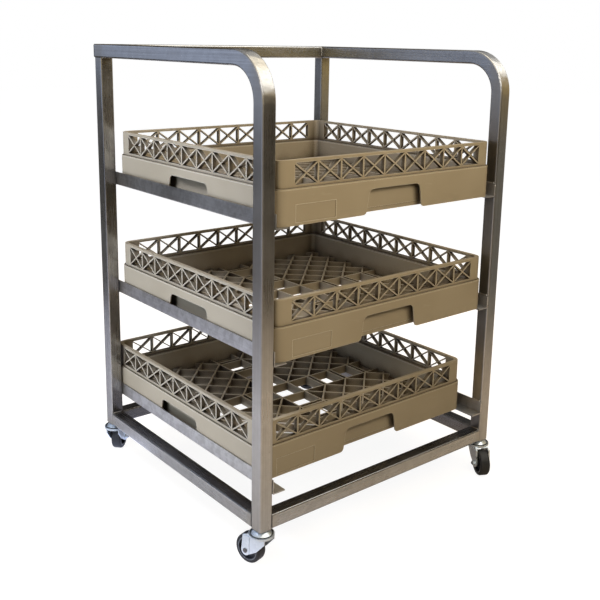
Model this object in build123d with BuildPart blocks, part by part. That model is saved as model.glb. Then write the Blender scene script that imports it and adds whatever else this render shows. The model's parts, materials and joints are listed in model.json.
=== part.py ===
from build123d import *
import os
from math import acos, atan2, ceil, cos, degrees, hypot, radians, sin

# A rack trolley: a square-tube frame on four swivel castors, with angle runners that carry three moulded racks.
# Millimetres, +Z up. X runs to the right and Y to the back, as seen from the loading side.
# The origin is on the floor under the middle of the frame.

# Rack: the size that the whole frame is made around
rack_size = 500.0               # square, over the lower band
rack_height = 101.3             # underside to the top of the rim
rack_corner = 20.0              # outer radius of the upright corners
rack_side_play = 5.5            # rack to runner on each side, when centred
rack_seat_gap = 0.3             # underside of a rack over its runners
rack_shifts = {"bottom": -5.0, "middle": -4.5, "top": -3.5}     # the racks stand a little to the left
rack_setbacks = {"bottom": 40.5, "middle": 4.5, "top": 2.5}     # rack front behind the front of the posts

# Walls of the rack
skirt_wall = 2.0                # outer wall of the lower band
skirt_height = 58.0             # underside to the step
step_web = 2.0                  # sheet that closes the lower band on top
step_round = 1.2                # rounding along the step
band_set_in = 3.0               # lattice band behind the face of the lower band
band_wall = 8.0                 # depth of the lattice band
rim_height = 4.8                # solid strip over the lattice
sill_height = 4.6               # solid strip under the lattice
rim_round = 1.0                 # rounding along the top of the rim
inner_wall_depth = 15.0         # face of the lower band to the near side of the inner wall
inner_wall = 2.5
inner_corner = 8.0              # radius inside its corners
inner_wall_foot = 7.8           # foot of the inner wall over the underside

# Lattice along each side
cell_count = 9
corner_panel = 35.0             # solid length at each end of a side
cell_rib = 3.0                  # upright between two cells
cell_blade = 2.2                # crossed blades

# Floor of the rack
floor_top = 17.0                # top of the floor bars over the underside
floor_bar_depth = 16.8
floor_bar = 3.0                 # bar width
floor_edge = 3.0                # border of the floor, under the inner wall
floor_edge_set_in = 1.5         # border behind the outside of the inner wall
floor_pitch = 56.0              # square module of the pattern
pair_gap = 9.0                  # between the two bars of a pair

# Hand holds and the bare panel
notch_width = 118.0             # at the top
notch_height = 42.0
notch_lean = 6.0                # each side leans out by this much at the bottom
notch_round = 11.0              # upper corners
notch_lead = 8.0                # rounded lead at the lower corners
panel_length = 81.0
panel_height = 27.0
panel_depth = 0.6
panel_from_side = 37.0          # left side of the rack to the panel
panel_foot = 5.0

# Frame
tube = 25.0                     # square tube
tube_wall = 1.2
tube_corner = 3.0               # outer corner radius
frame_depth = 530.0             # over the posts
frame_height = 826.5            # floor to the top of the rails
bend_radius = 65.0              # to the middle of the tube
cap_head = 4.0                  # end cap outside the rail
cap_chamfer = 1.2
cap_insert = 14.0               # end cap inside the rail
insert_play = 0.15              # plugs inside a tube, on each side

# Runners
runner_leg = 25.0
runner_wall = 2.0
runner_bend = 2.5               # outer radius of the angle
lowest_runner = 60.0            # underside of the lowest runner over the foot of the posts
tier_pitch = 217.0

# Wheels
wheel_diameter = 50.0
tread_width = 19.5
tread_round = 4.0
tyre_thickness = 5.2
core_width = 17.0               # across the rim of the core
core_rim = 2.6
core_web = 5.0
hub_radius = 8.0
hub_length = 21.0
sleeve_radius = 4.5
running_clearance = 0.06        # wheel on its sleeve, and fork on its king pin

# Forks and axles
trail = 22.5                    # swivel axis to axle
fork_gap = 23.0                 # between the cheeks
fork_sheet = 2.0
crown_clearance = 4.7           # top of the wheel to the crown
crown_radius = 21.3
race_wall = 2.3                 # raised edge round the crown
race_rise = 1.9
lip_drop = 2.5                  # lip turned down at the rear of the crown
lip_place = 15.5                # swivel axis to the lip
cheek_toe = 8.5                 # cheek radius round the axle
nose_drop = 7.0                 # front edge of a cheek below the crown
knee_back = 0.0                 # corner of the front edge ahead of the swivel axis
knee_drop = 25.7                # the same corner below the crown
shoulder_back = 5.5             # upper rear corner of a cheek behind the axle
shoulder_drop = 2.5             # the same corner below the crown
rib_rise = 0.9                  # pressed rib on each cheek
rib_width = 13.5
axle_radius = 2.5
axle_play = 0.1
axle_head_radius = 4.0
axle_head_height = 1.6
axle_head_round = 0.8
axle_nut_flats = 8.0
axle_nut_height = 4.5
axle_tip = 1.5                  # bolt end past its nut

# Swivel heads
ball_radius = 2.0
ball_ring = 13.0
ball_count = 14
ball_sink = 0.6                 # balls below the top of the crown
ball_play = 0.15
cup_sheet = 1.4
cup_radius = 18.0
cup_flat = 11.5                 # radius of the flat on top of the cup
cup_height = 5.0
cup_lift = 1.6                  # lower edge of the cup over the crown
collar_height = 3.2             # hexagon between the cup and the post
collar_flats = 17.0
king_pin_radius = 5.0
rivet_radius = 7.5
rivet_height = 2.0
rivet_gap = 0.3                 # crown to the rivet head
stem_radius = 4.9
stem_length = 22.0              # thread inside the post
socket_height = 25.0
socket_play = 0.1               # stem in its socket
castor_headings = {"front_left": 104.0, "front_right": -118.0, "rear_left": 43.5, "rear_right": 118.0}

# Places that follow from the sizes
frame_width = rack_size + 2 * (rack_side_play + runner_wall + tube)
post_x = frame_width / 2 - tube / 2
post_y = frame_depth / 2 - tube / 2
axle_height = wheel_diameter / 2
crown_under = wheel_diameter + crown_clearance
crown_top = crown_under + fork_sheet
ball_height = crown_top + ball_radius - ball_sink
cup_foot = crown_top + cup_lift
cup_top = cup_foot + cup_height
post_foot = cup_top + collar_height
rail_under = frame_height - tube
rail_middle = frame_height - tube / 2
tier_names = ["bottom", "middle", "top"]
runner_under = {tier: post_foot + lowest_runner + n * tier_pitch for n, tier in enumerate(tier_names)}
castor_places = {
    "front_left": (-post_x, -post_y),
    "front_right": (post_x, -post_y),
    "rear_left": (-post_x, post_y),
    "rear_right": (post_x, post_y),
}

os.makedirs("parts", exist_ok=True)


def save(shape, label):
    """Label one finished piece and write it to its own file."""
    shape.label = label
    export_step(shape, f"parts/{label}.step")
    print(label, len(shape.solids()), "solids,", round(shape.volume), "cubic mm")


def draw_tube():
    """Draw the hollow square tube in the open sketch."""
    bore = tube - 2 * tube_wall
    RectangleRounded(tube, tube, tube_corner)
    RectangleRounded(bore, bore, tube_corner - tube_wall, mode=Mode.SUBTRACT)


def straight_tube(start, direction, length):
    """Cut length of tube from a point along a direction."""
    across = (0, 1, 0) if direction[0] else (1, 0, 0)
    with BuildPart() as cut_length:
        with BuildSketch(Plane(start, x_dir=across, z_dir=direction)):
            draw_tube()
        extrude(amount=length)
    return cut_length.part


def hoop(x):
    """Front post, bend and top rail, bent from one tube."""
    foot = (x, -post_y, post_foot)
    corner = (x, -post_y, rail_middle)
    tail = (x, frame_depth / 2, rail_middle)
    with BuildPart() as bent_tube:
        with BuildLine() as middle_line:
            FilletPolyline(foot, corner, tail, radius=bend_radius)
        with BuildSketch(Plane(foot, x_dir=(1, 0, 0), z_dir=(0, 0, 1))):
            draw_tube()
        sweep(path=middle_line.line)
    return bent_tube.part


# Tubes of the frame
for side_name, x in (("left", -post_x), ("right", post_x)):
    base_start = (x, -frame_depth / 2 + tube, post_foot + tube / 2)
    save(hoop(x), f"{side_name}_hoop")
    save(straight_tube((x, post_y, post_foot), (0, 0, 1), rail_under - post_foot), f"rear_{side_name}_post")
    save(straight_tube(base_start, (0, 1, 0), frame_depth - 2 * tube), f"base_{side_name}_rail")

cross_start = -frame_width / 2 + tube
cross_length = frame_width - 2 * tube
base_middle = post_foot + tube / 2
save(straight_tube((cross_start, -post_y, base_middle), (1, 0, 0), cross_length), "base_front_rail")
save(straight_tube((cross_start, post_y, base_middle), (1, 0, 0), cross_length), "base_rear_rail")
save(straight_tube((cross_start, post_y, rail_middle), (1, 0, 0), cross_length), "rear_crossbar")

# End caps in the open rear ends of the two top rails
plug_side = tube - 2 * tube_wall - 2 * insert_play
plug_corner = tube_corner - tube_wall
with BuildPart() as rail_end_caps:
    for x in (-post_x, post_x):
        rail_end = Plane((x, frame_depth / 2, rail_middle), x_dir=(1, 0, 0), z_dir=(0, 1, 0))
        with BuildSketch(rail_end):
            RectangleRounded(tube, tube, tube_corner)
        extrude(amount=cap_head)
        with BuildSketch(rail_end):
            RectangleRounded(plug_side, plug_side, plug_corner)
        extrude(amount=-cap_insert)
    chamfer(rail_end_caps.faces().filter_by(Axis.Y).group_by(Axis.Y)[-1].edges(), cap_chamfer)
save(rail_end_caps.part, "rail_end_caps")


def runner(side, under):
    """Angle along one side, its upright leg on the posts and its flat leg under the rack."""
    corner = (side * (frame_width / 2 - tube), -frame_depth / 2, under)
    with BuildPart() as angle:
        with BuildSketch(Plane(corner, x_dir=(-side, 0, 0), z_dir=(0, side, 0))) as section:
            with BuildLine():
                Polyline(
                    (0, 0), (runner_leg, 0), (runner_leg, runner_wall), (runner_wall, runner_wall),
                    (runner_wall, runner_leg), (0, runner_leg), close=True,
                )
            make_face()
            fillet(section.vertices().sort_by_distance((0, 0))[0], runner_bend)
        extrude(amount=side * frame_depth)
    return angle.part


for tier in tier_names:
    for side_name, side in (("left", -1), ("right", 1)):
        save(runner(side, runner_under[tier]), f"{tier}_{side_name}_runner")

# Threaded sockets in the feet of the posts
with BuildPart() as castor_sockets:
    with BuildSketch(Plane.XY.offset(post_foot)):
        with Locations(*castor_places.values()):
            RectangleRounded(plug_side, plug_side, plug_corner)
            Circle(stem_radius + socket_play, mode=Mode.SUBTRACT)
    extrude(amount=socket_height)
save(castor_sockets.part, "castor_sockets")

# Stems: thread, hexagon collar, king pin, and the rivet head that holds the fork up
with BuildPart() as castor_stems:
    with BuildSketch(Plane.XY.offset(cup_top)):
        with Locations(*castor_places.values()):
            RegularPolygon(collar_flats / 2, 6, major_radius=False)
    extrude(amount=collar_height)
    with BuildSketch(Plane.XY.offset(post_foot)):
        with Locations(*castor_places.values()):
            Circle(stem_radius)
    extrude(amount=stem_length)
    with BuildSketch(Plane.XY.offset(crown_under - rivet_gap)):
        with Locations(*castor_places.values()):
            Circle(king_pin_radius)
    extrude(amount=cup_top - crown_under + rivet_gap)
    with BuildSketch(Plane.XY.offset(crown_under - rivet_gap)):
        with Locations(*castor_places.values()):
            Circle(rivet_radius)
    extrude(amount=-rivet_height)
save(castor_stems.part, "castor_stems")

# Upper race cups, pressed from sheet, one on each king pin
with BuildPart() as castor_cups:
    for place in castor_places.values():
        with BuildSketch(Plane((*place, 0), x_dir=(1, 0, 0), z_dir=(0, -1, 0))):
            with BuildLine():
                Polyline(
                    (king_pin_radius, cup_top), (cup_flat, cup_top), (cup_radius, cup_foot),
                    (cup_radius - cup_sheet, cup_foot), (cup_flat - cup_sheet / 2, cup_top - cup_sheet),
                    (king_pin_radius, cup_top - cup_sheet), close=True,
                )
            make_face()
        revolve(axis=Axis((*place, 0), (0, 0, 1)))
save(castor_cups.part, "castor_cups")

# Ring of balls between each cup and its fork
with BuildPart() as swivel_balls:
    for x, y in castor_places.values():
        with Locations((x, y, ball_height)):
            with PolarLocations(ball_ring, ball_count):
                Sphere(ball_radius)
save(swivel_balls.part, "swivel_balls")

# One castor below its race, drawn with the swivel axis up through the origin and the axle at +X
cheek_rear = trail + cheek_toe
cheek_inside = fork_gap / 2
cheek_outside = cheek_inside + fork_sheet
rib_outside = cheek_outside + rib_rise
nose = -((crown_radius**2 - cheek_outside**2) ** 0.5)
knee = (-knee_back, crown_under - knee_drop)
knee_reach = hypot(knee[0] - trail, knee[1] - axle_height)
touch_angle = atan2(knee[1] - axle_height, knee[0] - trail) + acos(cheek_toe / knee_reach)
touch = (trail + cheek_toe * cos(touch_angle), axle_height + cheek_toe * sin(touch_angle))
toe_low = (trail + cheek_toe * cos(radians(-45)), axle_height + cheek_toe * sin(radians(-45)))
shoulder = (trail + shoulder_back, crown_under - shoulder_drop)
rib_front = shoulder[0] - rib_width
axle_plane = Plane((trail, 0, axle_height), x_dir=(1, 0, 0), z_dir=(0, 1, 0))

with BuildPart() as fork:
    with BuildSketch(Plane.XY.offset(crown_under)):
        Circle(crown_radius)
    extrude(amount=fork_sheet)
    with BuildSketch(Plane.XY.offset(crown_top)):
        Circle(crown_radius)
        Circle(crown_radius - race_wall, mode=Mode.SUBTRACT)
    extrude(amount=race_rise)
    with BuildSketch(Plane.XZ.offset(cheek_outside)):
        with BuildLine():
            Polyline((cheek_rear, axle_height), shoulder, (-nose, crown_top), (nose, crown_top))
            Polyline((nose, crown_top), (nose, crown_under - nose_drop), knee, touch)
            ThreePointArc(touch, toe_low, (cheek_rear, axle_height))
        make_face()
    extrude(amount=-2 * cheek_outside)
    with BuildSketch(Plane.XZ.offset(cheek_inside)):
        with Locations((0, crown_under / 2)):
            Rectangle(4 * crown_radius, crown_under)
    extrude(amount=-fork_gap, mode=Mode.SUBTRACT)
    for way in (1, -1):
        with BuildSketch(Plane.XZ.offset(way * cheek_outside)):
            with BuildLine():
                Polyline(
                    (rib_front, axle_height), (rib_front, shoulder[1]), shoulder, (cheek_rear, axle_height), close=True,
                )
            make_face()
            with Locations((trail, axle_height)):
                Circle(cheek_toe)
        extrude(amount=way * rib_rise)
    with BuildSketch(Plane.XY.offset(crown_under)):
        with Locations((lip_place + fork_sheet / 2, 0)):
            Rectangle(fork_sheet, 2 * cheek_outside)
    extrude(amount=-lip_drop)
    with BuildSketch(Plane.XY.offset(crown_under)):
        Circle(king_pin_radius + running_clearance)
    extrude(amount=fork_sheet, mode=Mode.SUBTRACT)
    with BuildSketch(Plane.XZ):
        with Locations((ball_ring, ball_height)):
            Circle(ball_radius + ball_play)
    revolve(axis=Axis.Z, mode=Mode.SUBTRACT)
    with BuildSketch(axle_plane):
        Circle(axle_radius + axle_play)
    extrude(amount=2 * cheek_outside, both=True, mode=Mode.SUBTRACT)

with BuildPart() as axle_bolt:
    with BuildSketch(axle_plane.offset(rib_outside)):
        Circle(axle_head_radius)
    extrude(amount=axle_head_height)
    fillet(axle_bolt.edges().sort_by(Axis.Y)[-1], axle_head_round)
    with BuildSketch(axle_plane.offset(rib_outside)):
        Circle(axle_radius)
    extrude(amount=-(2 * rib_outside + axle_nut_height + axle_tip))

with BuildPart() as axle_nut:
    with BuildSketch(axle_plane.offset(-rib_outside)):
        RegularPolygon(axle_nut_flats / 2, 6, major_radius=False)
        Circle(axle_radius + axle_play, mode=Mode.SUBTRACT)
    extrude(amount=-axle_nut_height)

with BuildPart() as wheel_sleeve:
    with BuildSketch(axle_plane.offset(-cheek_inside)):
        Circle(sleeve_radius)
        Circle(axle_radius + axle_play, mode=Mode.SUBTRACT)
    extrude(amount=fork_gap)

core_radius = wheel_diameter / 2 - tyre_thickness
bore_radius = sleeve_radius + running_clearance
wheel_axis = Axis((trail, 0, axle_height), (0, 1, 0))
half_section = Plane((trail, 0, axle_height), x_dir=(0, 0, 1), z_dir=(1, 0, 0))
with BuildPart() as wheel_core:
    with BuildSketch(half_section):
        with Locations((core_radius / 2, 0)):
            Rectangle(core_radius, core_web)
        with Locations((hub_radius / 2, 0)):
            Rectangle(hub_radius, hub_length)
        with Locations((core_radius - core_rim / 2, 0)):
            Rectangle(core_rim, core_width)
        with Locations((bore_radius / 2, 0)):
            Rectangle(bore_radius, hub_length, mode=Mode.SUBTRACT)
    revolve(axis=wheel_axis)

with BuildPart() as tyre:
    with BuildSketch(half_section) as tyre_section:
        with Locations((wheel_diameter / 2 - tyre_thickness / 2, 0)):
            Rectangle(tyre_thickness, tread_width)
        fillet(tyre_section.vertices().group_by(Axis.X)[-1], tread_round)
    revolve(axis=wheel_axis)

castor_pieces = {
    "fork": fork, "axle_bolt": axle_bolt, "axle_nut": axle_nut,
    "wheel_sleeve": wheel_sleeve, "wheel_core": wheel_core, "tyre": tyre,
}
for corner_name, place in castor_places.items():
    stand = Location((*place, 0), (0, 0, castor_headings[corner_name]))
    for piece_name, piece in castor_pieces.items():
        save(piece.part.moved(stand), f"{corner_name}_{piece_name}")

# One rack, drawn with the middle of its underside at the origin
half = rack_size / 2
band_half = half - band_set_in
inner_half = half - inner_wall_depth - inner_wall
cell_pitch = (rack_size - 2 * corner_panel) / cell_count
window_low = skirt_height + sill_height
window_height = rack_height - rim_height - window_low
window_middle = window_low + window_height / 2
blade_run = hypot(cell_pitch, window_height)
blade_turn = degrees(atan2(window_height, cell_pitch))

# Floor bars as pairs of end points: two full bars each way, paired bars across the corridors between them,
# and crossed diagonals in the four quarters
first = floor_pitch / 2
reach = inner_half + inner_wall
span = reach - first
steps = ceil(span / floor_pitch)
floor_lines = []
for s in (-1, 1):
    floor_lines.append(((s * first, -reach), (s * first, reach)))
    floor_lines.append(((-reach, s * first), (reach, s * first)))
    for n in range(1, steps):
        for t in (-1, 1):
            place = s * (first + n * floor_pitch) + t * pair_gap / 2
            floor_lines.append(((place, -first), (place, first)))
            floor_lines.append(((-first, place), (first, place)))
quarter = []
for n in range(1 - steps, steps):
    shift = n * floor_pitch
    quarter.append(((max(0, -shift), max(0, shift)), (min(span, span - shift), min(span, span + shift))))
for n in range(1, 2 * steps):
    total = n * floor_pitch
    if total < 2 * span:
        quarter.append(((max(0, total - span), min(span, total)), (min(span, total), max(0, total - span))))
for sx in (-1, 1):
    for sy in (-1, 1):
        for (ax, ay), (bx, by) in quarter:
            floor_lines.append(((sx * (first + ax), sy * (first + ay)), (sx * (first + bx), sy * (first + by))))


def floor_bars():
    """One flat bar for each floor line."""
    bars = []
    for (ax, ay), (bx, by) in floor_lines:
        turn = degrees(atan2(by - ay, bx - ax))
        bar = Rectangle(hypot(bx - ax, by - ay), floor_bar, mode=Mode.PRIVATE)
        bars.append(bar.moved(Location(((ax + bx) / 2, (ay + by) / 2, 0), (0, 0, turn))))
    return bars


# Outer wall of the rack, with the hand holds and the bare panel
step_under = skirt_height - step_web
with BuildPart() as rack_skirt:
    with BuildSketch():
        skirt_inside = half - skirt_wall
        RectangleRounded(rack_size, rack_size, rack_corner)
        RectangleRounded(2 * skirt_inside, 2 * skirt_inside, rack_corner - skirt_wall, mode=Mode.SUBTRACT)
    extrude(amount=step_under)
    for turn in (0, 90, 180, 270):
        outward = (cos(radians(turn)), sin(radians(turn)), 0)
        along = (-outward[1], outward[0], 0)
        side_face = Plane((half * outward[0], half * outward[1], 0), x_dir=along, z_dir=outward)
        top_x = notch_width / 2
        low_x = top_x + notch_lean
        wide_x = low_x + 3 * notch_lead
        with BuildSketch(side_face) as notch:
            with BuildLine():
                Polyline(
                    (-wide_x, -notch_lead), (wide_x, -notch_lead), (wide_x, 0), (low_x, 0), (top_x, notch_height),
                    (-top_x, notch_height), (-low_x, 0), (-wide_x, 0), close=True,
                )
            make_face()
            fillet(notch.vertices().group_by(Axis.Y)[-1], notch_round)
            fillet(notch.vertices().filter_by_position(Axis.Y, -0.1, 0.1).group_by(Axis.X)[1:3], notch_lead)
        extrude(amount=-2 * skirt_wall, mode=Mode.SUBTRACT)
    with BuildSketch(Plane((0, -half, 0), x_dir=(1, 0, 0), z_dir=(0, -1, 0))):
        with Locations((-half + panel_from_side + panel_length / 2, panel_foot + panel_height / 2)):
            Rectangle(panel_length, panel_height)
    extrude(amount=-panel_depth, mode=Mode.SUBTRACT)

# Inner wall, behind the finger gap
with BuildPart() as rack_inner_wall:
    with BuildSketch(Plane.XY.offset(inner_wall_foot)):
        wall_side = 2 * (inner_half + inner_wall)
        RectangleRounded(wall_side, wall_side, inner_corner + inner_wall)
        RectangleRounded(2 * inner_half, 2 * inner_half, inner_corner, mode=Mode.SUBTRACT)
    extrude(amount=step_under - inner_wall_foot)

# Step sheet over both walls, and the lattice band on it with crossed blades in each window
with BuildPart() as rack_band:
    with BuildSketch(Plane.XY.offset(step_under)):
        RectangleRounded(rack_size, rack_size, rack_corner)
    extrude(amount=step_web)
    fillet(rack_band.faces().sort_by(Axis.Z)[-1].edges(), step_round)
    with BuildSketch(Plane.XY.offset(step_under)):
        RectangleRounded(2 * inner_half, 2 * inner_half, inner_corner)
    extrude(amount=step_web, mode=Mode.SUBTRACT)
    with BuildSketch(Plane.XY.offset(skirt_height)):
        RectangleRounded(2 * band_half, 2 * band_half, rack_corner - band_set_in)
        band_inside = band_half - band_wall
        band_inner_corner = rack_corner - band_set_in - band_wall
        RectangleRounded(2 * band_inside, 2 * band_inside, band_inner_corner, mode=Mode.SUBTRACT)
    extrude(amount=rack_height - skirt_height)
    fillet(rack_band.faces().sort_by(Axis.Z)[-1].edges(), rim_round)
    for side_plane in (Plane.XZ, Plane.YZ):
        with BuildSketch(side_plane):
            with Locations((0, window_middle)):
                with GridLocations(cell_pitch, 0, cell_count, 1):
                    Rectangle(cell_pitch - cell_rib, window_height)
                    Rectangle(blade_run, cell_blade, rotation=blade_turn, mode=Mode.SUBTRACT)
                    Rectangle(blade_run, cell_blade, rotation=-blade_turn, mode=Mode.SUBTRACT)
        extrude(amount=half, both=True, mode=Mode.SUBTRACT)

# Floor bars, trimmed to the inside of the inner wall, with a border under that wall
floor_under = floor_top - floor_bar_depth
edge_half = inner_half + inner_wall - floor_edge_set_in
edge_corner = inner_corner + inner_wall - floor_edge_set_in
edge_inside = edge_half - floor_edge
with BuildPart() as rack_floor:
    with BuildSketch(Plane.XY.offset(floor_under)):
        add(floor_bars())
        RectangleRounded(2 * inner_half, 2 * inner_half, inner_corner, mode=Mode.INTERSECT)
    extrude(amount=floor_bar_depth)
    with BuildSketch(Plane.XY.offset(floor_under)):
        RectangleRounded(2 * edge_half, 2 * edge_half, edge_corner)
        RectangleRounded(2 * edge_inside, 2 * edge_inside, edge_corner - floor_edge, mode=Mode.SUBTRACT)
    extrude(amount=inner_wall_foot - floor_under)


def in_lengths(ring, cuts=()):
    """Cut a rack ring at its mitred corners, and each side again at places along it. All lengths stay one node."""
    far = 2 * half
    ends = [-far, *cuts, far]
    lengths = []
    for turn in (0, 90, 180, 270):
        for low, high in zip(ends, ends[1:]):
            with BuildPart() as length:
                add(ring)
                with BuildSketch(Plane.XY.rotated((0, 0, turn))):
                    with BuildLine():
                        Polyline((0, 0), (far, -far), (far, far), close=True)
                    make_face()
                    with Locations((far / 2, (low + high) / 2)):
                        Rectangle(far, high - low, mode=Mode.INTERSECT)
                extrude(amount=rack_height, mode=Mode.INTERSECT)
            lengths.extend(length.part.solids())
    return Compound(lengths)


bridge_end = notch_width / 2 - notch_round
rack_zones = {
    "rack": in_lengths(rack_skirt.part, (-bridge_end, bridge_end)), "rack_floor": rack_floor.part,
    "rack_inner_wall": in_lengths(rack_inner_wall.part), "rack_band": in_lengths(rack_band.part),
}
for tier in tier_names:
    rack_y = -frame_depth / 2 + rack_setbacks[tier] + half
    rack_z = runner_under[tier] + runner_wall + rack_seat_gap
    for zone_name, zone in rack_zones.items():
        save(zone.moved(Location((rack_shifts[tier], rack_y, rack_z))), f"{tier}_{zone_name}")
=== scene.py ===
# %% [markdown]
# A rack trolley in Blender
#
# The trolley is a welded frame of square stainless tube on four swivel castors, with angle runners that carry
# three moulded racks. Its solids come from CAD and are loaded here as a fixed frame. What is left to do is the
# look: brushed steel, tan plastic, zinc and rubber, small pieces such as the welds, and a camera and light like
# the photograph's.

# %% Load the solids
import json
import math

import bpy
from mathutils import Matrix, Vector


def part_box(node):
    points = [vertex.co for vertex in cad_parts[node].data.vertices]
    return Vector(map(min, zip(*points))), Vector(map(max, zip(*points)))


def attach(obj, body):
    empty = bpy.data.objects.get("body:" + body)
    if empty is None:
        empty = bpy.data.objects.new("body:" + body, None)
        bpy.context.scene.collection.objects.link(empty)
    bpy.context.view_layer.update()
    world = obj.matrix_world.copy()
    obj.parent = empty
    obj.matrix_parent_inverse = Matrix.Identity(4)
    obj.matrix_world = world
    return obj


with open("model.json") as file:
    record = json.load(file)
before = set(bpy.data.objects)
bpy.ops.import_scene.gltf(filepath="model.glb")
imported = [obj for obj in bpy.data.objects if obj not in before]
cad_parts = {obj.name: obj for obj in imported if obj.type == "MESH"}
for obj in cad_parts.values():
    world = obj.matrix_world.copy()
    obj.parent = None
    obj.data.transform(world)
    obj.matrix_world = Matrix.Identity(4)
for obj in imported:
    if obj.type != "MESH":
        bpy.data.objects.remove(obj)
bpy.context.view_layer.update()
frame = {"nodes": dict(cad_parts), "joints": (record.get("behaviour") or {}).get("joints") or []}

cad = frame["nodes"]
corners = ["front_left", "front_right", "rear_left", "rear_right"]
tiers = ["bottom", "middle", "top"]
bpy.ops.object.select_all(action="DESELECT")

# %% [markdown]
# The camera
#
# The photograph was taken from the front left, a little above the top rail. Its lens, place and tilt were
# worked out from the straight edges of the frame, so they are written here as measured numbers. The photograph
# is cropped off centre, and a small lens shift stands for that: tilting the camera instead would make the
# uprights lean together.

# %% Camera
image_pixels = 600
focal_pixels = 867.4968
centre_column, centre_row = 301.9126, 230.0
camera_place = Vector((-1.0312725, -1.2694472, 0.8404742))
camera_yaw, camera_pitch, camera_roll = (math.radians(v) for v in (-39.397, -12.372, 0.9758))

level = Vector((-math.sin(camera_yaw), math.cos(camera_yaw), 0))
side = Vector((math.cos(camera_yaw), math.sin(camera_yaw), 0))
ahead = level * math.cos(camera_pitch) + Vector((0, 0, math.sin(camera_pitch)))
above = Vector((0, 0, math.cos(camera_pitch))) - level * math.sin(camera_pitch)
right = side * math.cos(camera_roll) + above * math.sin(camera_roll)
upward = above * math.cos(camera_roll) - side * math.sin(camera_roll)

bpy.ops.object.camera_add()
camera = bpy.context.object
turned = Matrix((right, upward, -ahead)).transposed().to_4x4()
camera.matrix_world = Matrix.Translation(camera_place) @ turned
camera.data.sensor_width = 36
camera.data.lens = focal_pixels * camera.data.sensor_width / image_pixels
camera.data.shift_x = (image_pixels / 2 - centre_column) / image_pixels
camera.data.shift_y = (centre_row - image_pixels / 2) / image_pixels
bpy.context.scene.camera = camera
bpy.context.scene.view_settings.view_transform = "Standard"
print("lens", round(camera.data.lens, 2), "shift", round(camera.data.shift_x, 4), round(camera.data.shift_y, 4))

# %% [markdown]
# Node helpers
#
# A material is a small graph of nodes. Writing every node and link by hand hides the idea, so a few helpers do
# the wiring. One fills sockets with values or links and one adds a node. The short ones after them add the
# nodes that come up most: sums, mixes, noise and ranges. The last four start a group or a material and use it.

# %% Adding and wiring nodes
def fill(tree, node, sockets):
    """Fill a node's sockets: another node's output is linked, and any other value is set."""
    for name, value in sockets.items():
        if isinstance(value, bpy.types.NodeSocket):
            tree.links.new(value, node.inputs[name])
        else:
            node.inputs[name].default_value = value


def put(tree, kind, sockets=None, **settings):
    """Add a node to a tree, with its settings made and its sockets filled."""
    node = tree.nodes.new(kind)
    for name, value in settings.items():
        setattr(node, name, value)
    fill(tree, node, sockets or {})
    return node


print("wiring helpers ready")

# %% The nodes that come up most
def math_node(tree, operation, *values):
    """One sum on one, two or three values."""
    return put(tree, "ShaderNodeMath", dict(enumerate(values)), operation=operation).outputs[0]


def mix_values(tree, factor, first, second):
    """Mix two values by a mask. A Mix node has sockets for every kind of value, and these are for numbers."""
    return put(tree, "ShaderNodeMix", {0: factor, 2: first, 3: second}).outputs[0]


def mix_colours(tree, factor, first, second):
    """Mix two colours by a mask, with the Mix node's sockets for colours."""
    return put(tree, "ShaderNodeMix", {0: factor, 6: first, 7: second}, data_type="RGBA").outputs[2]


def noise(tree, place, scale, detail, distortion=0.0):
    """Cloudy noise between nought and one."""
    sockets = {"Vector": place, "Scale": scale, "Detail": detail, "Distortion": distortion}
    return put(tree, "ShaderNodeTexNoise", sockets).outputs[0]


def spread(tree, value, low, high, new_low=0.0, new_high=1.0):
    """Map a range to another one, with soft ends."""
    sockets = {"Value": value, "From Min": low, "From Max": high, "To Min": new_low, "To Max": new_high}
    return put(tree, "ShaderNodeMapRange", sockets, interpolation_type="SMOOTHSTEP").outputs[0]


def split(tree, vector):
    """The three parts of a vector."""
    return put(tree, "ShaderNodeSeparateXYZ", {"Vector": vector}).outputs


def measure(tree, operation, *vectors):
    """One number from vectors, such as a length."""
    return put(tree, "ShaderNodeVectorMath", dict(enumerate(vectors)), operation=operation).outputs["Value"]


def own_normal(tree):
    """The way that the face itself looks."""
    return put(tree, "ShaderNodeNewGeometry").outputs["Normal"]


print("node helpers ready")

# %% Groups and materials
def start_group(name, inputs, outputs):
    """A shader node group with named sockets, what it is given inside, and the node that puts it out."""
    tree = bpy.data.node_groups.new(name, "ShaderNodeTree")
    for label, value in inputs.items():
        kind = "NodeSocketVector" if isinstance(value, tuple) else "NodeSocketFloat"
        tree.interface.new_socket(label, in_out="INPUT", socket_type=kind).default_value = value
    for label in outputs:
        tree.interface.new_socket(label, in_out="OUTPUT", socket_type="NodeSocketFloat")
    return tree, tree.nodes.new("NodeGroupInput").outputs, tree.nodes.new("NodeGroupOutput")


def use_group(tree, group, sockets):
    """Place a node group in a material."""
    return put(tree, "ShaderNodeGroup", sockets, node_tree=group).outputs


def start_material(name):
    """A material, its tree, its Principled shader and the piece's own coordinates."""
    material = bpy.data.materials.new(name)
    material.use_nodes = True
    tree = material.node_tree
    place = put(tree, "ShaderNodeTexCoord").outputs["Object"]
    return material, tree, tree.nodes["Principled BSDF"], place


def dress(material, names):
    """Give CAD nodes a material."""
    for name in names:
        cad[name].data.materials.clear()
        cad[name].data.materials.append(material)
    print(material.name, "on", len(names), "pieces")


print("group and material helpers ready")
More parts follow.
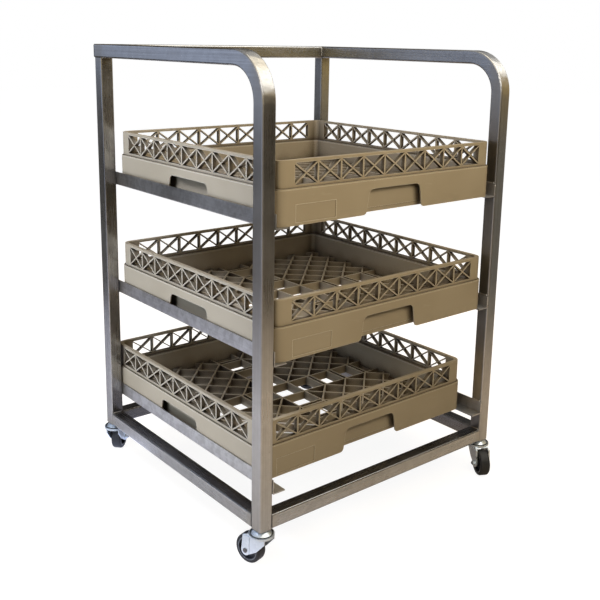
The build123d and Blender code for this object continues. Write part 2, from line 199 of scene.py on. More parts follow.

# %% [markdown]
# Brushed steel
#
# Satin stainless tube is finished on a belt, so its scratches run along each tube. They are noise stretched two
# hundred times in one direction. Slow cloudy patches stand for handling marks, small mottled ones for the mill
# finish that shows on the runners, and a heat mark beside each weld for the place where it was ground flush.
# Corners are painted darker as shade, where an Ambient Occlusion node finds them, since it measures how much of the
# sky a point sees. These are groups, because several finishes share them.

# %% Groups for steel
def make_brushed_grain():
    """Belt scratches, cloudy handling marks, small mottled patches, and the height of the scratches."""
    tree, given, out = start_group(
        "brushed_grain", {"Stretched": (0, 0, 0), "Place": (0, 0, 0)}, ("Scratch", "Cloud", "Mottle", "Height"),
    )
    fine = noise(tree, given["Stretched"], scale=1.0, detail=3.0)
    broad = noise(tree, given["Stretched"], scale=0.23, detail=2.0)
    cloud = noise(tree, given["Place"], scale=9.0, detail=4.0)
    mottle = noise(tree, given["Place"], scale=75.0, detail=4.0, distortion=0.5)
    broad_share = 0.45
    fill(tree, out, {
        "Scratch": spread(tree, mix_values(tree, broad_share, fine, broad), 0.33, 0.67),
        "Cloud": spread(tree, cloud, 0.3, 0.7),
        "Mottle": spread(tree, mottle, 0.35, 0.65),
        "Height": fine,
    })
    return tree


def make_weld_mark():
    """Mask that is one at a joint, at the same distance on both sides of a middle, and fades out beside it."""
    tree, given, out = start_group(
        "weld_mark", {"Along": 0.0, "Middle": 0.0, "Joint": 0.25, "Reach": 0.02}, ("Mask",),
    )
    away = math_node(tree, "ABSOLUTE", math_node(tree, "SUBTRACT", given["Along"], given["Middle"]))
    gap = math_node(tree, "ABSOLUTE", math_node(tree, "SUBTRACT", away, given["Joint"]))
    share = math_node(tree, "DIVIDE", gap, given["Reach"])
    fill(tree, out, {"Mask": spread(tree, share, 0.0, 1.0, 1.0, 0.0)})
    return tree


def make_corner_shade():
    """Mask that is one in tight corners, for the painted shade there."""
    tree, given, out = start_group("corner_shade", {"Reach": 0.025}, ("Mask",))
    # Painted shade: corners that see little sky are marked to be painted darker.
    open_sky = put(tree, "ShaderNodeAmbientOcclusion", {"Distance": given["Reach"]}, samples=8).outputs["AO"]
    fill(tree, out, {"Mask": spread(tree, open_sky, 0.42, 0.98, 1.0, 0.0)})
    return tree


brushed_grain = make_brushed_grain()
weld_mark = make_weld_mark()
corner_shade = make_corner_shade()
print("groups:", brushed_grain.name, weld_mark.name, corner_shade.name)

# %% [markdown]
# Steel of the frame
#
# Each tube gets the grain along its own length. A hoop is one bent tube, so its grain is upright in the post,
# level in the rail and mixed between them by height. Where it is bent, its outer wall ripples a little, and a
# weak bump there breaks the reflections into patches, as in the photograph. The tops of the base rails are
# painted darker too, as painted shade.

# %% Steel values
steel_pale, steel_deep = (0.64, 0.635, 0.63, 1), (0.42, 0.415, 0.41, 1)
angle_pale, angle_deep = (0.84, 0.84, 0.85, 1), (0.54, 0.535, 0.53, 1)
heat_tint, heat_share, heat_rough = (0.50, 0.46, 0.40, 1), 0.55, 0.10
# Painted shade: the darker colour for corners and the base rails' tops, and how far it reaches from a corner.
steel_shade_colour, steel_shade_reach = (0.17, 0.165, 0.16, 1), 0.05
grain_along, grain_across = 7.0, 1500.0
cloud_share, cloud_rough, scratch_rough = 0.25, 0.10, -0.08
scratch_strength, scratch_depth = 0.06, 0.0002
turn_low, turn_high = 0.71, 0.80
bend_front, bend_back = -0.21, -0.15
ripple_scale, ripple_depth = 62.0, 0.0014
print("grain stretched", round(grain_across / grain_along), "times, film within", steel_shade_reach, "m of a corner")

# %% Steel material
def grain_along_axis(tree, place, axis):
    """Brushed grain that runs along one axis of a piece."""
    scale = [grain_along if letter == axis else grain_across for letter in "xyz"]
    stretched = put(tree, "ShaderNodeMapping", {"Vector": place, "Scale": scale}).outputs[0]
    return use_group(tree, brushed_grain, {"Stretched": stretched, "Place": place})


def ripple_bend(tree, place, turned_level, looks, normal):
    """Ripple the outer wall of a hoop where it is bent, on top of another bump."""
    before_rail = spread(tree, split(tree, place)["Y"], bend_front, bend_back, 1.0, 0.0)
    in_bend = math_node(tree, "MULTIPLY", turned_level, before_rail)
    outer_face = spread(tree, math_node(tree, "ABSOLUTE", looks["X"]), 0.3, 0.7, 1.0, 0.0)
    ripple = noise(tree, place, ripple_scale, detail=1.0)
    ripple = math_node(tree, "MULTIPLY", ripple, math_node(tree, "MULTIPLY", in_bend, outer_face))
    bump = {"Height": ripple, "Distance": ripple_depth, "Normal": normal}
    return put(tree, "ShaderNodeBump", bump).outputs[0]


def make_steel(name, direction, joint, middle=0.0, reach=0.02, polish=0.26, pale=steel_pale, deep=steel_deep,
               patchy=0.22, shade_share=0.74, shaded_top=False):
    """Brushed steel with its grain along x, y or z, or along two of them in turn on a bent hoop."""
    material, tree, shader, place = start_material(name)
    parts, looks = split(tree, place), split(tree, own_normal(tree))
    bent = len(direction) == 2
    grain = grain_along_axis(tree, place, direction[0])
    scratch, height = grain["Scratch"], grain["Height"]
    if bent:
        level_grain = grain_along_axis(tree, place, direction[1])
        turned_level = spread(tree, parts["Z"], turn_low, turn_high)
        scratch = mix_values(tree, turned_level, scratch, level_grain["Scratch"])
        height = mix_values(tree, turned_level, height, level_grain["Height"])
    where = {"Along": parts[direction[-1].upper()], "Middle": middle, "Joint": joint, "Reach": reach}
    mark = use_group(tree, weld_mark, where)["Mask"]

    tone = math_node(tree, "MULTIPLY", scratch, 1 - cloud_share - patchy)
    tone = math_node(tree, "MULTIPLY_ADD", grain["Cloud"], cloud_share, tone)
    tone = math_node(tree, "MULTIPLY_ADD", grain["Mottle"], patchy, tone)
    colour = mix_colours(tree, tone, deep, pale)
    colour = mix_colours(tree, math_node(tree, "MULTIPLY", mark, heat_share), colour, heat_tint)
    # Painted shade in corners, and on top faces where that is asked for.
    painted_shade = use_group(tree, corner_shade, {"Reach": steel_shade_reach})["Mask"]
    if shaded_top:
        painted_shade = math_node(tree, "MAXIMUM", painted_shade, spread(tree, looks["Z"], 0.5, 0.9))
    colour = mix_colours(tree, math_node(tree, "MULTIPLY", painted_shade, shade_share), colour, steel_shade_colour)

    rough = math_node(tree, "MULTIPLY_ADD", scratch, scratch_rough, polish)
    rough = math_node(tree, "MULTIPLY_ADD", grain["Cloud"], cloud_rough, rough)
    rough = math_node(tree, "MULTIPLY_ADD", mark, heat_rough, rough)
    bump = {"Height": height, "Strength": scratch_strength, "Distance": scratch_depth}
    normal = put(tree, "ShaderNodeBump", bump).outputs[0]
    if bent:
        normal = ripple_bend(tree, place, turned_level, looks, normal)
    fill(tree, shader, {"Base Color": colour, "Roughness": rough, "Normal": normal, "Metallic": 1.0})
    return material


print("steel ready")

# %% Dress the tubes and runners
tube_half = 0.0125
post_inside_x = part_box("base_front_rail")[1].x
post_inside_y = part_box("base_left_rail")[1].y
post_middle_x, post_middle_y = post_inside_x + tube_half, post_inside_y + tube_half
post_low, post_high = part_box("rear_left_post")[0].z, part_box("rear_left_post")[1].z

dress(make_steel("steel_of_crossbar", "x", post_inside_x), ["rear_crossbar"])
# The base rails' tops are painted darker as shade.
dress(make_steel("steel_along_x", "x", post_inside_x, shaded_top=True), ["base_front_rail", "base_rear_rail"])
dress(make_steel("steel_along_y", "y", post_inside_y, shaded_top=True), ["base_left_rail", "base_right_rail"])
dress(
    make_steel("steel_along_z", "z", (post_high - post_low) / 2, (post_high + post_low) / 2),
    ["rear_left_post", "rear_right_post"],
)
dress(make_steel("steel_of_hoops", "zy", post_middle_y, reach=0.03), ["left_hoop", "right_hoop"])
dress(
    make_steel(
        "steel_of_runners", "y", post_middle_y, reach=0.03, polish=0.40,
        pale=angle_pale, deep=angle_deep, patchy=0.5, shade_share=0.35,
    ),
    [f"{tier}_{hand}_runner" for tier in tiers for hand in ("left", "right")],
)

# %% [markdown]
# Tan plastic of the racks
#
# The racks are moulded polypropylene: one warm colour all through, a fine spark-eroded grain, and slow
# differences in tone from flow in the mould and from years of washing. A noise of a fraction of a millimetre
# gives the grain and a large one gives the tone. Scuffs are short stretched streaks that are a little paler.
# Edges get a painted highlight, a paler colour. A Bevel node finds them, because it rounds the normal near an
# edge, so there it leans away from the face's own. The corners get the same painted shade as the steel's, in
# brown. It is faint on the smooth outer wall and strong in the lattice and floor, and it reaches furthest on
# the faces that look into the rack.

# %% Groups for plastic
def make_moulded_grain():
    """Tone, scuffs and grain of a moulded plastic."""
    tree, given, out = start_group(
        "moulded_grain", {"Place": (0, 0, 0), "Grain": 1400.0}, ("Tone", "Scuff", "Height"),
    )
    tone = noise(tree, given["Place"], scale=7.0, detail=3.0)
    streak_place = put(tree, "ShaderNodeMapping", {"Vector": given["Place"], "Scale": (30, 30, 170)}).outputs[0]
    scuff = noise(tree, streak_place, scale=1.0, detail=5.0, distortion=0.6)
    fill(tree, out, {
        "Tone": spread(tree, tone, 0.3, 0.7),
        "Scuff": spread(tree, scuff, 0.62, 0.78),
        "Height": noise(tree, given["Place"], given["Grain"], detail=2.0),
    })
    return tree


def make_edge_highlight():
    """Mask that is one along edges, for a painted highlight: there a rounded normal leans away from the face's own.
    """
    tree, given, out = start_group("edge_highlight", {"Width": 0.002}, ("Mask",))
    # Painted highlight: edges are marked to be painted paler.
    rounded = put(tree, "ShaderNodeBevel", {"Radius": given["Width"]}, samples=16).outputs[0]
    alike = measure(tree, "DOT_PRODUCT", rounded, own_normal(tree))
    fill(tree, out, {"Mask": spread(tree, alike, 0.74, 0.93, 1.0, 0.0)})
    return tree


moulded_grain = make_moulded_grain()
edge_highlight = make_edge_highlight()
print("groups:", moulded_grain.name, edge_highlight.name)

# %% Plastic material
scuff_share, tone_rough, grain_strength, edge_width = 0.35, 0.08, 0.25, 0.0026


def reach_of_shade(tree, place, outward, inward):
    """How far the painted shade reaches: further on faces that look at the middle of the rack than on those that
    look out.
    """
    to_middle = put(tree, "ShaderNodeVectorMath", {0: place, 1: (-1, -1, 0)}, operation="MULTIPLY").outputs[0]
    inside = measure(tree, "DOT_PRODUCT", to_middle, own_normal(tree))
    return spread(tree, inside, -0.12, -0.02, outward, inward)


def make_plastic(name, deep, pale, scuffed, rough, grain, depth, shine=0.5, shade_colour=None, highlight_colour=None,
                 reach=(0.025, 0.025)):
    """Moulded plastic with tone, scuffs and grain. Where a shade colour is given, corners get painted shade and
    edges a painted highlight.
    """
    material, tree, shader, place = start_material(name)
    look = use_group(tree, moulded_grain, {"Place": place, "Grain": grain})
    colour = mix_colours(tree, look["Tone"], deep, pale)
    colour = mix_colours(tree, math_node(tree, "MULTIPLY", look["Scuff"], scuff_share), colour, scuffed)
    # Painted highlight on edges and painted shade in corners, where a shade colour is given.
    if shade_colour:
        edge = use_group(tree, edge_highlight, {"Width": edge_width})["Mask"]
        corner = use_group(tree, corner_shade, {"Reach": reach_of_shade(tree, place, *reach)})["Mask"]
        colour = mix_colours(tree, edge, colour, highlight_colour)
        colour = mix_colours(tree, corner, colour, shade_colour)
    bump = {"Height": look["Height"], "Strength": grain_strength, "Distance": depth}
    fill(tree, shader, {
        "Base Color": colour,
        "Roughness": math_node(tree, "MULTIPLY_ADD", look["Tone"], tone_rough, rough),
        "Normal": put(tree, "ShaderNodeBump", bump).outputs[0],
        "Specular IOR Level": shine,
    })
    return material


print("plastic ready")

# %% Dress the racks
tan = {
    "deep": (0.362, 0.292, 0.196, 1), "pale": (0.400, 0.326, 0.224, 1), "scuffed": (0.46, 0.39, 0.28, 1),
    "rough": 0.52, "grain": 1400.0, "depth": 0.0003, "shine": 0.32,
}
# Both rack plastics get painted shade in corners and a painted highlight on edges; the inside one much darker
# shade.
tan_plastic = make_plastic(
    "tan_rack_plastic", **tan, shade_colour=(0.26, 0.205, 0.135, 1), highlight_colour=(0.62, 0.54, 0.42, 1),
)
tan_inside_shaded = make_plastic(
    "tan_rack_inside_shaded", **tan, shade_colour=(0.070, 0.050, 0.030, 1), highlight_colour=(0.72, 0.64, 0.51, 1), reach=(0.016, 0.040),
)
dress(tan_plastic, [f"{tier}_rack" for tier in tiers])
dress(tan_inside_shaded, [f"{tier}_rack_{piece}" for tier in tiers for piece in ("inner_wall", "band", "floor")])

# %% [markdown]
# Castor finishes
#
# The castors are pressed from sheet and zinc plated: a bright bluish metal with a faint crystal pattern, which
# Voronoi cells give. The wheels have a black rubber tread on a dark grey moulded core, and these take the same
# plastic as the racks, in other colours and grains.

# %% Zinc plate
crystal_scale, crystal_share, cloud_scale = 260.0, 0.4, 60.0
cloud_strength, cloud_depth, rough_range = 0.12, 0.0004, 0.14


def make_zinc(name, pale, deep, rough, metal=1.0):
    """Bright zinc plate with faint crystals."""
    material, tree, shader, place = start_material(name)
    crystals = put(tree, "ShaderNodeTexVoronoi", {"Vector": place, "Scale": crystal_scale}).outputs["Color"]
    shade = put(tree, "ShaderNodeSeparateColor", {"Color": crystals}).outputs[0]
    cloud = noise(tree, place, cloud_scale, detail=4.0)
    bump = {"Height": cloud, "Strength": cloud_strength, "Distance": cloud_depth}
    fill(tree, shader, {
        "Base Color": mix_colours(tree, mix_values(tree, crystal_share, cloud, shade), deep, pale),
        "Roughness": spread(tree, cloud, 0.3, 0.7, rough, rough + rough_range),
        "Normal": put(tree, "ShaderNodeBump", bump).outputs[0],
        "Metallic": metal,
    })
    return material


zinc = make_zinc("zinc_plate", (0.86, 0.92, 0.97, 1), (0.70, 0.77, 0.83, 1), 0.26, 0.75)
ball_steel = make_zinc("bearing_steel", (0.78, 0.78, 0.79, 1), (0.66, 0.66, 0.67, 1), 0.10)
dark_steel = make_zinc("dark_fastener", (0.24, 0.24, 0.25, 1), (0.12, 0.12, 0.12, 1), 0.34)
dress(zinc, ["castor_sockets", "castor_stems", "castor_cups"])
dress(zinc, [f"{corner}_{piece}" for corner in corners for piece in ("fork", "axle_nut", "wheel_sleeve")])
dress(ball_steel, ["swivel_balls"])
dress(dark_steel, [f"{corner}_axle_bolt" for corner in corners])

# %% Rubber and dark plastics
rubber = make_plastic(
    "black_rubber", (0.016, 0.016, 0.017, 1), (0.030, 0.030, 0.031, 1), (0.09, 0.088, 0.085, 1),
    rough=0.52, grain=900.0, depth=0.0004,
)
core_plastic = make_plastic(
    "wheel_core_plastic", (0.035, 0.035, 0.038, 1), (0.05, 0.05, 0.054, 1), (0.12, 0.12, 0.12, 1),
    rough=0.40, grain=1200.0, depth=0.0002,
)
ring_plastic = make_plastic(
    "wheel_ring_plastic", (0.16, 0.16, 0.165, 1), (0.22, 0.22, 0.225, 1), (0.32, 0.32, 0.32, 1),
    rough=0.36, grain=1200.0, depth=0.0002,
)
cap_plastic = make_plastic(
    "black_cap_plastic", (0.018, 0.018, 0.018, 1), (0.03, 0.03, 0.03, 1), (0.07, 0.07, 0.07, 1),
    rough=0.45, grain=1300.0, depth=0.0003,
)
dress(rubber, [f"{corner}_tyre" for corner in corners])
dress(core_plastic, [f"{corner}_wheel_core" for corner in corners])
dress(cap_plastic, ["rail_end_caps"])

# %% [markdown]
# Welds
#
# Every tube and runner is welded where it meets a post. The flat faces were ground flush, but in the inside
# corners the bead is left: a short rippled cord of metal. One bead is modelled by extruding a small disc along
# its length and swelling every second ring, and it is then copied into each corner and joined into one piece.
# On the right-hand posts an upright bead also closes the cut end of each runner, which the photograph shows.

# %% Helpers for pieces that repeat
def lay_copy(piece, place, turn=(0, 0, 0)):
    """Copy a piece to a place and turn it there, with the place and turn put into its mesh."""
    bpy.ops.object.select_all(action="DESELECT")
    piece.select_set(True)
    bpy.context.view_layer.objects.active = piece
    bpy.ops.object.duplicate()
    copy = bpy.context.object
    copy.location, copy.rotation_euler = place, turn
    bpy.ops.object.transform_apply(location=True, rotation=True, scale=True)
    return copy


def join_pieces(pieces):
    """Join pieces into one."""
    bpy.ops.object.select_all(action="DESELECT")
    for piece in pieces:
        piece.select_set(True)
    bpy.context.view_layer.objects.active = pieces[0]
    bpy.ops.object.join()
    return bpy.context.object


def soften_edges(piece, width):
    """Round a piece's sharp edges a little."""
    soften = piece.modifiers.new("soften", "BEVEL")
    soften.width, soften.segments, soften.limit_method = width, 2, "ANGLE"
    bpy.ops.object.modifier_apply(modifier="soften")


print("piece helpers ready")

# %% One weld bead
bead_length, bead_radius, bead_ripples = 0.019, 0.0017, 9
end_size, neck_size = 0.5, 0.86
bead_start, bead_steps = -bead_length / 2, 2 * bead_ripples
bead_step = bead_length / bead_steps
bead_sizes = [end_size] + [neck_size if n % 2 else 1.0 for n in range(1, bead_steps)] + [end_size]

bpy.ops.object.select_all(action="DESELECT")
bpy.ops.mesh.primitive_circle_add(
    vertices=10, radius=bead_radius, fill_type="NGON", location=(bead_start, 0, 0), rotation=(0, math.pi / 2, 0),
)
bead = bpy.context.object
bpy.ops.object.transform_apply(location=True, rotation=True, scale=True)
bpy.ops.object.mode_set(mode="EDIT")
bpy.ops.mesh.select_all(action="SELECT")
bpy.ops.transform.resize(value=(1, end_size, end_size), center_override=(bead_start, 0, 0))
for n in range(bead_steps):
    bpy.ops.mesh.extrude_region_move(TRANSFORM_OT_translate={"value": (bead_step, 0, 0)})
    change = bead_sizes[n + 1] / bead_sizes[n]
    ring_middle = (bead_start + (n + 1) * bead_step, 0, 0)
    bpy.ops.transform.resize(value=(1, change, change), center_override=ring_middle)
bpy.ops.mesh.select_all(action="SELECT")
bpy.ops.mesh.normals_make_consistent(inside=False)
bpy.ops.object.mode_set(mode="OBJECT")
bpy.ops.object.shade_smooth_by_angle(angle=math.radians(60))
print("bead faces:", len(bead.data.polygons), "length:", round(bead.dimensions.x, 4))

# %% Where the beads go
base_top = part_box("base_front_rail")[1].z
base_middle = base_top - tube_half
crossbar_under, crossbar_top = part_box("rear_crossbar")[0].z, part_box("rear_crossbar")[1].z
end_bead_inset = 0.001
along_x, along_y, along_z = (1, 0, 0), (0, 1, 0), (0, 0, 1)
weld_places = []
for sx in (-1, 1):
    for sy in (-1, 1):
        weld_places.append(((sx * post_inside_x, sy * post_middle_y, base_top), along_y))
        weld_places.append(((sx * post_middle_x, sy * post_inside_y, base_top), along_x))
        weld_places.append(((sx * post_inside_x, sy * post_inside_y, base_middle), along_z))
        for tier in tiers:
            low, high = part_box(f"{tier}_left_runner")
            for height in (low.z, high.z):
                weld_places.append(((sx * post_inside_x, sy * post_middle_y, height), along_y))
            if sx > 0:
                end_place = (post_inside_x - end_bead_inset, sy * high.y, (low.z + high.z) / 2)
                weld_places.append((end_place, along_z))
    weld_places.append(((sx * post_inside_x, post_inside_y, crossbar_top - tube_half), along_z))
    weld_places.append(((sx * post_inside_x, post_middle_y, crossbar_under), along_y))
    weld_places.append(((sx * post_middle_x, post_inside_y, crossbar_under), along_x))
print("places for beads:", len(weld_places))

# %% Lay the beads
bead_roll = 0.7
beads = []
for n, (place, direction) in enumerate(weld_places):
    turn = Vector(along_x).rotation_difference(Vector(direction)).to_matrix()
    rolled = turn @ Matrix.Rotation(bead_roll * n, 3, "X")
    beads.append(lay_copy(bead, place, rolled.to_euler()))
bpy.data.objects.remove(bead)
frame_welds = join_pieces(beads)
frame_welds.name = "frame_welds"
weld_metal = make_zinc("weld_metal", (0.84, 0.81, 0.75, 1), (0.50, 0.46, 0.40, 1), 0.26)
frame_welds.data.materials.append(weld_metal)
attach(frame_welds, "frame")
print("weld faces:", len(frame_welds.data.polygons))

# %% [markdown]
# Rings on the wheels
#
# Each wheel's core ends in a thin moulded ring that stands out against the tread. A cylinder is cut to a ring
# by insetting its two ends, deleting the middles and bridging the two holes. A small bevel rounds its edges.

# %% One ring
ring_outside, ring_width, ring_height, ring_face, ring_edge = 0.01972, 0.0016, 0.0010, 0.00942, 0.00025
bpy.ops.object.select_all(action="DESELECT")
bpy.ops.mesh.primitive_cylinder_add(vertices=64, radius=ring_outside, depth=ring_height)
ring = bpy.context.object
bpy.ops.object.mode_set(mode="EDIT")
bpy.ops.mesh.select_mode(type="FACE")
bpy.ops.mesh.select_all(action="DESELECT")
bpy.ops.object.mode_set(mode="OBJECT")
for face in ring.data.polygons:
    face.select = abs(face.normal.z) > 0.9
bpy.ops.object.mode_set(mode="EDIT")
bpy.ops.mesh.inset(thickness=ring_width)
bpy.ops.mesh.delete(type="FACE")
bpy.ops.mesh.select_mode(type="EDGE")
bpy.ops.mesh.select_non_manifold()
bpy.ops.mesh.bridge_edge_loops()
bpy.ops.mesh.select_all(action="SELECT")
bpy.ops.mesh.normals_make_consistent(inside=False)
bpy.ops.object.mode_set(mode="OBJECT")
soften_edges(ring, ring_edge)
bpy.ops.object.shade_smooth_by_angle(angle=math.radians(40))
print("ring faces:", len(ring.data.polygons))

# %% A ring on both sides of every wheel
joints = {joint["name"]: joint for joint in frame["joints"]}
for corner in corners:
    spin = joints[f"{corner}_wheel_spin"]
    axle, axis = Vector(spin["pos_m"]), Vector(spin["axis"]).normalized()
    turn = Vector(along_z).rotation_difference(axis).to_euler()
    out_to_ring = (ring_face - ring_height / 2) * axis
    rings = join_pieces([lay_copy(ring, axle + way * out_to_ring, turn) for way in (-1, 1)])
    rings.name = f"{corner}_wheel_rings"
    rings.data.materials.append(ring_plastic)
    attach(rings, f"{corner}_wheel")
bpy.data.objects.remove(ring)
print("wheels with rings:", len(corners))

# %% [markdown]
# Shade rings of the castors
#
# A black ring in the gap between each bright cup and the fork under it is painted shade for the dark line there.
# It is a plain torus, and Spin makes one from a small upright circle, swept once round the swivel axis, seam
# merged.

# %% One shade ring, copied to every castor
shade_ring_sweep, shade_ring_radius, shade_ring_height = 0.0186, 0.0008, 0.0593
seam_gap = 0.00002
bpy.ops.object.select_all(action="DESELECT")
bpy.ops.mesh.primitive_circle_add(
    vertices=10, radius=shade_ring_radius, location=(shade_ring_sweep, 0, 0), rotation=(math.pi / 2, 0, 0),
)
shade_ring = bpy.context.object
bpy.ops.object.transform_apply(location=True, rotation=True, scale=True)
bpy.ops.object.mode_set(mode="EDIT")
bpy.ops.mesh.select_all(action="SELECT")
bpy.ops.mesh.spin(steps=64, angle=2 * math.pi, center=(0, 0, 0), axis=(0, 0, 1))
bpy.ops.mesh.select_all(action="SELECT")
bpy.ops.mesh.remove_doubles(threshold=seam_gap)
bpy.ops.mesh.normals_make_consistent(inside=False)
bpy.ops.object.mode_set(mode="OBJECT")
bpy.ops.object.shade_smooth()
# Each black ring stands in the gap under a cup as painted shade.
for corner in corners:
    swivel = joints[f"{corner}_swivel"]["pos_m"]
    copy = lay_copy(shade_ring, (swivel[0], swivel[1], shade_ring_height))
    copy.name = f"{corner}_castor_shade_ring"
    copy.data.materials.append(cap_plastic)
    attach(copy, "frame")
print("seals:", len(corners), "faces each:", len(shade_ring.data.polygons))
bpy.data.objects.remove(shade_ring)

# %% [markdown]
# Rims of the label places
#
# Each rack has a sunk place for a label on its front, with a thin rim round it. A plane is inset, its middle is
# deleted and the frame that is left gets a thickness and a soft edge from two modifiers. The place stays bare.

# %% One rim, copied to every rack
panel_length, panel_height, panel_left, panel_foot = 0.081, 0.027, 0.037, 0.005
rim_width, rim_thickness, rim_edge = 0.0013, 0.0005, 0.00015
bpy.ops.object.select_all(action="DESELECT")
bpy.ops.mesh.primitive_plane_add(size=1, rotation=(math.pi / 2, 0, 0))
rim = bpy.context.object
rim.scale = (panel_length + 2 * rim_width, panel_height + 2 * rim_width, 1)
bpy.ops.object.transform_apply(location=True, rotation=True, scale=True)
bpy.ops.object.mode_set(mode="EDIT")
bpy.ops.mesh.select_mode(type="FACE")
bpy.ops.mesh.select_all(action="SELECT")
bpy.ops.mesh.inset(thickness=rim_width)
bpy.ops.mesh.delete(type="FACE")
bpy.ops.object.mode_set(mode="OBJECT")
thicken = rim.modifiers.new("thicken", "SOLIDIFY")
thicken.thickness, thicken.offset = rim_thickness, 0.0
bpy.ops.object.modifier_apply(modifier="thicken")
soften_edges(rim, rim_edge)
for tier in tiers:
    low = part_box(f"{tier}_rack")[0]
    middle_x, middle_z = low.x + panel_left + panel_length / 2, low.z + panel_foot + panel_height / 2
    copy = lay_copy(rim, (middle_x, low.y, middle_z))
    copy.name = f"{tier}_label_rim"
    copy.data.materials.append(tan_plastic)
    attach(copy, f"{tier}_rack_unit")
print("rims:", len(tiers), "faces each:", len(rim.data.polygons))
bpy.data.objects.remove(rim)

# %% [markdown]
# Floor and background
#
# A plain pale floor and an even white surround, as in a studio. Light Path lets both be white to the camera,
# while they light the object only a little. To reflections the floor is dimmer near the trolley, warm in front
# and cool on the left, and brighter beside the left castors, because that is what the steel in the photograph
# shows. Under the trolley the floor is dark to scattered light, so the racks' undersides stay in shade.

# %% Floor
castor_x, castor_y = 0.27, 0.25
floor_warm, floor_cool = (1.0, 0.78, 0.60, 1), (0.96, 1.05, 1.42, 1)
floor_under, floor_outside = (0.10, 0.09, 0.075, 1), (0.50, 0.45, 0.38, 1)
bpy.ops.mesh.primitive_plane_add(size=24, location=(0, 0, 0))
floor = bpy.context.object
floor.name = "floor"

material, tree, shader, place = start_material("pale_floor")
rays = put(tree, "ShaderNodeLightPath").outputs
seen = math_node(tree, "MAXIMUM", rays["Is Camera Ray"], rays["Is Transmission Ray"])
spot = split(tree, place)
from_middle = measure(tree, "LENGTH", place)
leftward = spread(tree, math_node(tree, "SUBTRACT", spot["Y"], spot["X"]), -0.6, 0.6)
past_x = math_node(tree, "SUBTRACT", math_node(tree, "ABSOLUTE", spot["X"]), castor_x)
past_y = math_node(tree, "SUBTRACT", math_node(tree, "ABSOLUTE", spot["Y"]), castor_y)
outside = spread(tree, math_node(tree, "MAXIMUM", past_x, past_y), -0.08, 0.12)
to_castor = measure(tree, "LENGTH", put(tree, "ShaderNodeCombineXYZ", {"X": past_x, "Y": past_y}).outputs[0])

by_castor = math_node(tree, "MULTIPLY", spread(tree, to_castor, 0.04, 0.11, 0.9, 0.0), leftward)
mirrored = math_node(tree, "ADD", spread(tree, from_middle, 0.38, 0.80, 0.14, 0.30), by_castor)
in_steel = math_node(tree, "MULTIPLY", rays["Is Glossy Ray"], mirrored)
white_out = spread(tree, from_middle, 0.5, 1.5, 0.92, 1.0)
fill(tree, shader, {
    "Emission Color": mix_colours(tree, seen, mix_colours(tree, leftward, floor_warm, floor_cool), (1, 1, 1, 1)),
    "Emission Strength": math_node(tree, "MULTIPLY_ADD", seen, white_out, in_steel),
    "Base Color": mix_colours(tree, outside, floor_under, floor_outside),
    "Roughness": 1.0,
    "Specular IOR Level": 0.0,
})
floor.data.materials.append(material)
print("floor:", material.name)

# %% Surround
surround_in_steel, surround_light = 0.42, 0.012
world = bpy.data.worlds.new("white_surround")
bpy.context.scene.world = world
world.use_nodes = True
tree = world.node_tree
rays = put(tree, "ShaderNodeLightPath").outputs
seen = math_node(tree, "MAXIMUM", rays["Is Camera Ray"], rays["Is Transmission Ray"])
in_steel = math_node(tree, "MULTIPLY", rays["Is Glossy Ray"], surround_in_steel)
strength = math_node(tree, "MAXIMUM", math_node(tree, "MAXIMUM", seen, in_steel), surround_light)
fill(tree, tree.nodes["Background"], {"Color": (1, 1, 1, 1), "Strength": strength})
print("surround:", world.name)

# %% [markdown]
# Lamps
#
# Near, low lamps fall off quickly, so the upper rack is brighter than the lower ones and the rack walls shade
# their own insides. A warm lamp stands in front, cool ones on the left, and one behind lights the back. Steel
# would mirror lamps this near as hard white bars, so reflections see only the far ceiling lamp, and the cards in
# the next step take the others' place.

# %% Lamps
def add_lamp(name, place, target, size, power, colour, in_steel=False):
    """A soft rectangular lamp aimed at a point, out of the camera's sight."""
    bpy.ops.object.light_add(type="AREA", location=place)
    lamp = bpy.context.object
    lamp.name = name
    lamp.data.shape = "RECTANGLE"
    lamp.data.size, lamp.data.size_y = size
    lamp.data.energy = power
    lamp.data.color = colour
    lamp.rotation_euler = (Vector(target) - Vector(place)).to_track_quat("-Z", "Y").to_euler()
    lamp.visible_camera = False
    lamp.visible_glossy = in_steel


add_lamp("ceiling_lamp", (0.4, -0.5, 2.4), (0.1, -0.2, 0.4), (2.0, 1.6), 14, (1.0, 0.88, 0.64), in_steel=True)
for row in [  # name, place, target, size, power and colour
    ("left_lamp", (-0.80, 0.00, 1.12), (-0.25, 0.0, 0.45), (0.5, 0.25), 8.5, (0.68, 0.78, 1.0)),
    ("middle_left_lamp", (-0.80, 0.06, 0.38), (-0.20, 0.04, 0.34), (0.4, 0.25), 1.7, (0.62, 0.76, 1.0)),
    ("low_left_lamp", (-0.75, 0.0, 0.07), (-0.25, 0.0, 0.35), (0.7, 0.15), 2.6, (0.68, 0.78, 1.0)),
    ("front_lamp", (-0.15, -1.20, 1.12), (0.05, -0.25, 0.55), (1.0, 0.4), 9.8, (1.0, 0.90, 0.70)),
    ("rear_lamp", (1.0, 1.3, 0.95), (0.1, 0.2, 0.40), (1.0, 0.5), 8, (1.0, 0.93, 0.82)),
]:
    add_lamp(*row)

# %% [markdown]
# Reflection cards
#
# Polished tube shows its surroundings more than its own colour. Plain glowing cards stand round the set, as they
# would in a studio for metal. The large ones are dark low down, with a golden or a blue zone at the height of
# the top rail. Bright ones high up make the highlights on the bends, and a small black flag on the left keeps
# one tube dark. Only reflections see them.

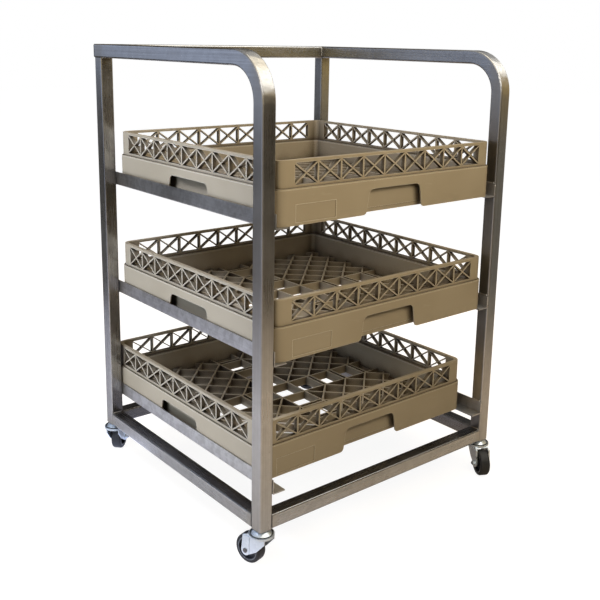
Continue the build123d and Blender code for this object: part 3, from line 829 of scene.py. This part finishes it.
# %% Reflection cards
def add_card(name, place, size, low, high=None, change=(0.60, 0.86), slope=0.0):
    """An upright glowing card that faces the trolley: one colour, or one below and another above."""
    bpy.ops.mesh.primitive_plane_add(size=1, location=place)
    card = bpy.context.object
    card.name = name
    card.scale = (*size, 1)
    card.rotation_euler = Vector((-place[0], -place[1], 0)).to_track_quat("Z", "Y").to_euler()
    bpy.ops.object.transform_apply(location=True, rotation=True, scale=True)
    material, tree, shader, spot = start_material(name)
    spot = split(tree, spot)
    across = math_node(tree, "ADD", spot["X"], spot["Y"])
    height = math_node(tree, "MULTIPLY_ADD", across, -slope, spot["Z"])
    colour = mix_colours(tree, spread(tree, height, *change), (*low, 1), (*(high or low), 1))
    glow = put(tree, "ShaderNodeEmission", {"Color": colour, "Strength": 1.0}).outputs[0]
    fill(tree, tree.nodes["Material Output"], {"Surface": glow})
    card.data.materials.append(material)
    card.visible_camera = card.visible_diffuse = card.visible_shadow = False
    card.visible_transmission = card.visible_volume_scatter = False
    return card


cards = [add_card(*row) for row in [  # name, place, size, colour below, colour above, its heights and its slope
    ("front_right_card", (0.72, -0.98, 0.62), (2.6, 1.24),
     (0.045, 0.037, 0.026), (0.46, 0.33, 0.13), (0.70, 0.78), -0.25),
    ("right_card", (0.95, -0.74, 0.33), (0.35, 0.66), (0.20, 0.19, 0.165)),
    ("rear_left_card", (-1.00, 0.95, 0.62), (2.6, 1.24),
     (0.10, 0.097, 0.093), (0.46, 0.53, 0.70), (0.58, 0.74), 0.25),
    ("left_flag", (-0.50, 0.36, 0.60), (0.22, 0.19), (0.03, 0.03, 0.03)),
    ("upper_rear_card", (-0.05, 1.50, 1.80), (3.0, 1.2), (0.10, 0.085, 0.06)),
    ("rear_right_card", (1.15, 1.15, 0.75), (2.8, 1.5), (0.05, 0.045, 0.040), (0.05, 0.048, 0.050)),
    ("upper_right_card", (0.80, -0.86, 1.85), (1.6, 1.1), (3.0, 3.0, 2.9)),
    ("near_card", (-1.40, -1.70, 0.60), (2.4, 1.30), (0.10, 0.095, 0.085), (0.70, 0.53, 0.20), (0.72, 0.82)),
    ("upper_near_card", (-1.20, -1.50, 2.10), (2.0, 1.2), (3.0, 3.0, 3.0)),
]]
print("cards:", [card.name for card in cards])
